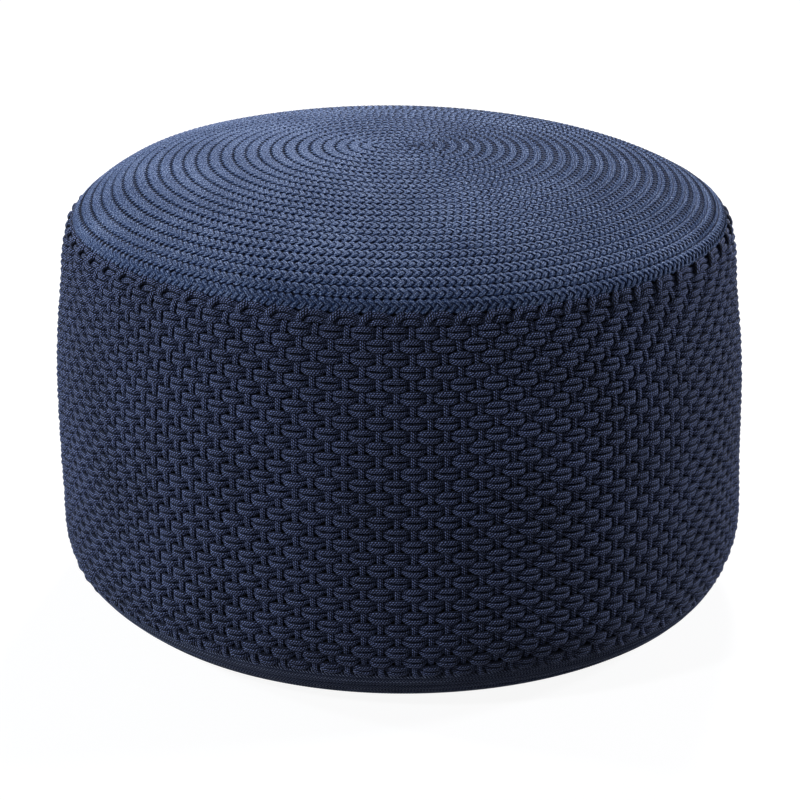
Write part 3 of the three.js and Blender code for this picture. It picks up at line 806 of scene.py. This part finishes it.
# The top is one long flat plait of three polyester strands, coiled from the middle of the crown out
# to the seam and sewn turn to turn. The last half turn thins out and is tucked in at the back.
coil_turns = 27
coil_first_turn = 0.25  # the plait starts and ends a quarter turn from the front
coil_parts = 6
strand_pitch = 19.2 * mm  # one strand's way from edge to edge and back
strand_width = 4.7 * mm
strand_height = 2.2 * mm
strand_rise = 0.9 * mm
strand_lean = 0.4  # each strand lies over the one before it like a tile, so its face leans onward
edge_rise = 0.7 * mm  # the edges lie nearly as high as the middle, so turns meet in a fine groove
turn_gap = -0.9 * mm  # neighbouring turns are pressed into each other
edge_turned_down = 1.2 * mm  # how much further the last turn reaches, down to the seam
edge_lowered = 1.8 * mm
first_straight = 11 * mm  # half the length of the straight piece that the first turns go round
coil_proud = 0.8 * mm
coil_depth = strand_rise + edge_rise / 2 + strand_height / 2 - coil_proud
steps_per_plait = 18

# Plaited textured polyester: soft bulked yarn that shows as fine lines along the strand, with light
# flecks, and dark grooves that are painted shade where each strand turns down at its sides, with a
# little painted shade between its bundles. Its filaments are too fine to show, so bundles of 1.6 mm
# are drawn.
braid_material = new_material("plaited_textured_polyester", {
    "Roughness": 0.82, "IOR": 1.5, "Specular IOR Level": 0.15, "Sheen Weight": 0.15,
    "Sheen Roughness": 0.45, "Sheen Tint": yarn_sheen})
dyed_yarn(braid_material, laid_filaments(braid_material, 7, 22 * mm),
          colours=("020B24", "2D4674", "B8CAEE"), relief=0.15 * mm, relief_shading_share=0.2,
          fleck_share=0.6, fleck_long=1.4 * mm, flecks_round=30, side_shade_share=1.0, side_shade_reach=0.57)


def from_crown_plane(flat, depth):
    """A point of the crown's plane laid on the crown, at this depth."""
    angle = np.arctan2(flat[..., 0], -flat[..., 1])
    return on_cover(angle, crown_at - np.linalg.norm(flat, axis=-1), depth)


def coil_line():
    """The coil's middle in the crown's own plane, unrolled round its apex: metres along it, place,
    width, pitch and turns so far. It starts with a short straight piece, so the first turns are
    longer than they are wide, and the outer turns run level and step out round the back."""
    reach = crown_at - seam_at - edge_turned_down
    inmost = -0.25  # turns
    pitch = reach / (coil_turns - 0.5 + inmost)
    turn = np.arange(coil_first_turn, coil_turns - coil_first_turn, 1 / 2000)
    back_share = np.clip((turn - np.floor(turn) - 0.25) * 2, 0, 1)
    stepped = np.floor(turn) + smooth(back_share)
    level = turn + (stepped - turn) * smooth((turn - 3) / 8)
    over = np.clip(stepped - (coil_turns - 1), 0, 1)
    width = np.maximum(0.12, 1 - over) * (0.4 + 0.6 * smooth((turn - coil_first_turn) / 0.15))
    away = np.where(over > 0, reach - width * pitch / 2, (inmost + level) * pitch)
    angle = turn * 2 * math.pi
    longer = first_straight * np.clip(1 - away / reach, 0, 1) ** 1.5
    side = np.sin(angle)
    flat = np.stack([away * side + longer * side * (1.5 - 0.5 * side**2),
                     -away * np.cos(angle)], -1)
    middle = from_crown_plane(flat, coil_depth)
    run = np.concatenate([[0], np.cumsum(np.linalg.norm(np.diff(middle, axis=0), axis=1))])
    return run, flat, width, pitch, level


coil_run, coil_flat, coil_width, coil_pitch, coil_level = coil_line()


def coil_part(name, run_from, run_to):
    """The three strands of a stretch of the plait."""
    steps = round((run_to - run_from) / strand_pitch * steps_per_plait) + 1
    run = np.linspace(run_from, run_to, steps)
    flat = np.stack([np.interp(run, coil_run, coil_flat[:, k]) for k in (0, 1)], -1)
    width = np.interp(run, coil_run, coil_width)
    level = np.interp(run, coil_run, coil_level)
    last = smooth((level - (coil_turns - 1.6)) / 0.4) * smooth(width * 2 - 1)
    ahead = np.gradient(flat, axis=0)
    ahead /= np.linalg.norm(ahead, axis=1)[:, None]
    out = np.stack([ahead[:, 1], -ahead[:, 0]], -1)
    strand_share = np.minimum(1, width * 1.5)
    swing = ((coil_pitch - turn_gap) * width - strand_width * strand_share) / 2
    centres, outward = [], []
    for strand in range(3):
        phase = 2 * math.pi * (run / strand_pitch + strand / 3)
        phase = phase + drift(run * 3, 31, 8, 0.25) + drift(run * 30, 32 + strand, 12, 0.12)
        lowered = last * np.maximum(0, np.sin(phase))
        across = swing * (0.9 * np.sin(phase) - 0.1 * np.sin(3 * phase))
        across = across + edge_turned_down * lowered
        # A strand is on top from the edge to just past the middle.
        over = np.tanh(2.2 * (0.2 - np.sin(2 * phase - 0.3)))
        rise = edge_rise * np.sin(phase) ** 2
        rise = rise + strand_rise * over * np.minimum(1, width * 1.3) - edge_lowered * lowered
        place, depth = flat + out * across[:, None], coil_depth - rise
        leant = from_crown_plane(place + ahead * strand_lean * mm, depth)
        centres.append(from_crown_plane(place, depth))
        outward.append(leant - from_crown_plane(place, depth + 1 * mm))
    rings = tubes(np.array(centres), np.array(outward), (strand_width / 2 * strand_share)[None, :],
                  strand_height / 2, 8, fullness=0.7)
    made = tubes_to_piece(name, rings, braid_material, start=run_from)
    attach(made, "footstool")
    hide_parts("top_braid")


coil_step = strand_pitch / steps_per_plait
coil_ends = np.linspace(0, coil_run[-1], coil_parts + 1)
coil_ends[1:-1] = np.round(coil_ends[1:-1] / coil_step) * coil_step
for part in range(coil_parts):
    coil_part(f"coiled_plait_{part + 1}", coil_ends[part], coil_ends[part + 1])

# The floor is a sheet of white paper. It shows white to the camera and to mirrors, keeps the
# footstool's shadow, throws back little light, and can't be seen from below.
floor_reach = 6.0
floor_drop = 0.2 * mm
floor_material = bpy.data.materials.new("white_paper_floor")
floor_material.use_nodes = True
floor_material.node_tree.nodes.clear()


def seen_rays(owner):
    """1 for what the camera sees, straight or by gloss or through glass, and 0 for other light."""
    path = add_node(owner, "LightPath").outputs
    rays = add_node(owner, "Math", {0: path["Is Camera Ray"], 1: path["Is Glossy Ray"]},
                    operation="ADD")
    return add_node(owner, "Math", {0: rays, 1: path["Is Transmission Ray"]}, operation="ADD",
                    use_clamp=True)


floor_paper = add_node(floor_material, "BsdfDiffuse", {"Color": linear("F4F4F4")})
floor_glow = add_node(floor_material, "Emission", {"Color": (1, 1, 1, 1), "Strength": 1.15})
floor_bounce = add_node(floor_material, "BsdfDiffuse", {"Color": linear("707070")})
floor_clear = add_node(floor_material, "BsdfTransparent")
floor_seen = add_node(floor_material, "MixShader", {0: 0.8, 1: floor_paper, 2: floor_glow})
floor_mix = add_node(floor_material, "MixShader",
                     {0: seen_rays(floor_material), 1: floor_bounce, 2: floor_seen})
floor_below = add_node(floor_material, "NewGeometry").outputs["Backfacing"]
floor_one_way = add_node(floor_material, "MixShader",
                         {0: floor_below, 1: floor_mix, 2: floor_clear})
add_node(floor_material, "OutputMaterial", {"Surface": floor_one_way})
floor_corners = np.array([[-1, -1, 0], [1, -1, 0], [1, 1, 0], [-1, 1, 0]]) * floor_reach
floor = add_piece("paper_floor", floor_corners - [0, 0, floor_drop], [np.array([[0, 1, 2, 3]])],
                  floor_material, rounded=False)

# The room is white to the camera and to mirrors, and gives the footstool only a weak even light, so
# that the grooves of the weave stay dark.
world = bpy.data.worlds.new("white_room")
bpy.context.scene.world = world
world.use_nodes = True
world.node_tree.nodes.clear()
room_light = add_node(world, "Background", {"Color": linear("F2F5FA"), "Strength": 0.025})
room_white = add_node(world, "Background", {"Color": (1, 1, 1, 1), "Strength": 1.0})
room_mix = add_node(world, "MixShader", {0: seen_rays(world), 1: room_light, 2: room_white})
add_node(world, "OutputWorld", {"Surface": room_mix})

# Four soft boxes light it as windows would: the strongest above and behind, which lights the
# crown, and cooler ones at both sides and in front on the left, which bring out the wall's weave.


def soft_lamp(name, place, aim, size, watts, colour):
    """A square soft box that faces a point."""
    lamp = bpy.data.lights.new(name, "AREA")
    lamp.size, lamp.energy, lamp.color = size, watts, linear(colour)[:3]
    made = bpy.data.objects.new(name, lamp)
    bpy.context.scene.collection.objects.link(made)
    made.location = place
    way = np.array(aim) - np.array(place)
    way /= np.linalg.norm(way)
    side = np.cross(way, [0, 0, 1])
    side /= np.linalg.norm(side)
    up = np.cross(side, way)
    made.rotation_euler = Matrix(np.stack([side, up, -way], 1).tolist()).to_euler()


soft_lamp("window_behind", (0.3, 1.7, 1.9), (0, 0, 0.3), 0.7, 60, "FFFFFF")
soft_lamp("window_left", (-2.65, 0.45, 1.05), (0, 0, 0.2), 0.25, 30, "E8F4FF")
soft_lamp("window_front", (-1.8, -1.6, 1.65), (0, 0, 0.2), 0.25, 28, "F4F7FF")
soft_lamp("window_right", (2.4, 0.3, 1.3), (0, 0, 0.2), 0.45, 30, "F0F4FF")

# The camera stands in front, a metre above the floor, looks down by about 20 degrees and is a
# little rolled. Its lens was fitted to the outline in a frame of 800 pixels.
camera_place = (-2.5 * mm, -2.25, 1.0125)
camera_pitch, camera_roll = 0.3592, 0.0084  # radians
focal_pixels = 2717
frame_pixels = 800
camera_data = bpy.data.cameras.new("camera")
camera_data.sensor_width = 36
camera_data.lens = focal_pixels / frame_pixels * camera_data.sensor_width
camera = bpy.data.objects.new("camera", camera_data)
bpy.context.scene.collection.objects.link(camera)
camera.matrix_world = (Matrix.Translation(camera_place)
                       @ Matrix.Rotation(math.pi / 2 - camera_pitch, 4, "X")
                       @ Matrix.Rotation(camera_roll, 4, "Z"))
bpy.context.scene.camera = camera
bpy.context.scene.view_settings.view_transform = "Standard"
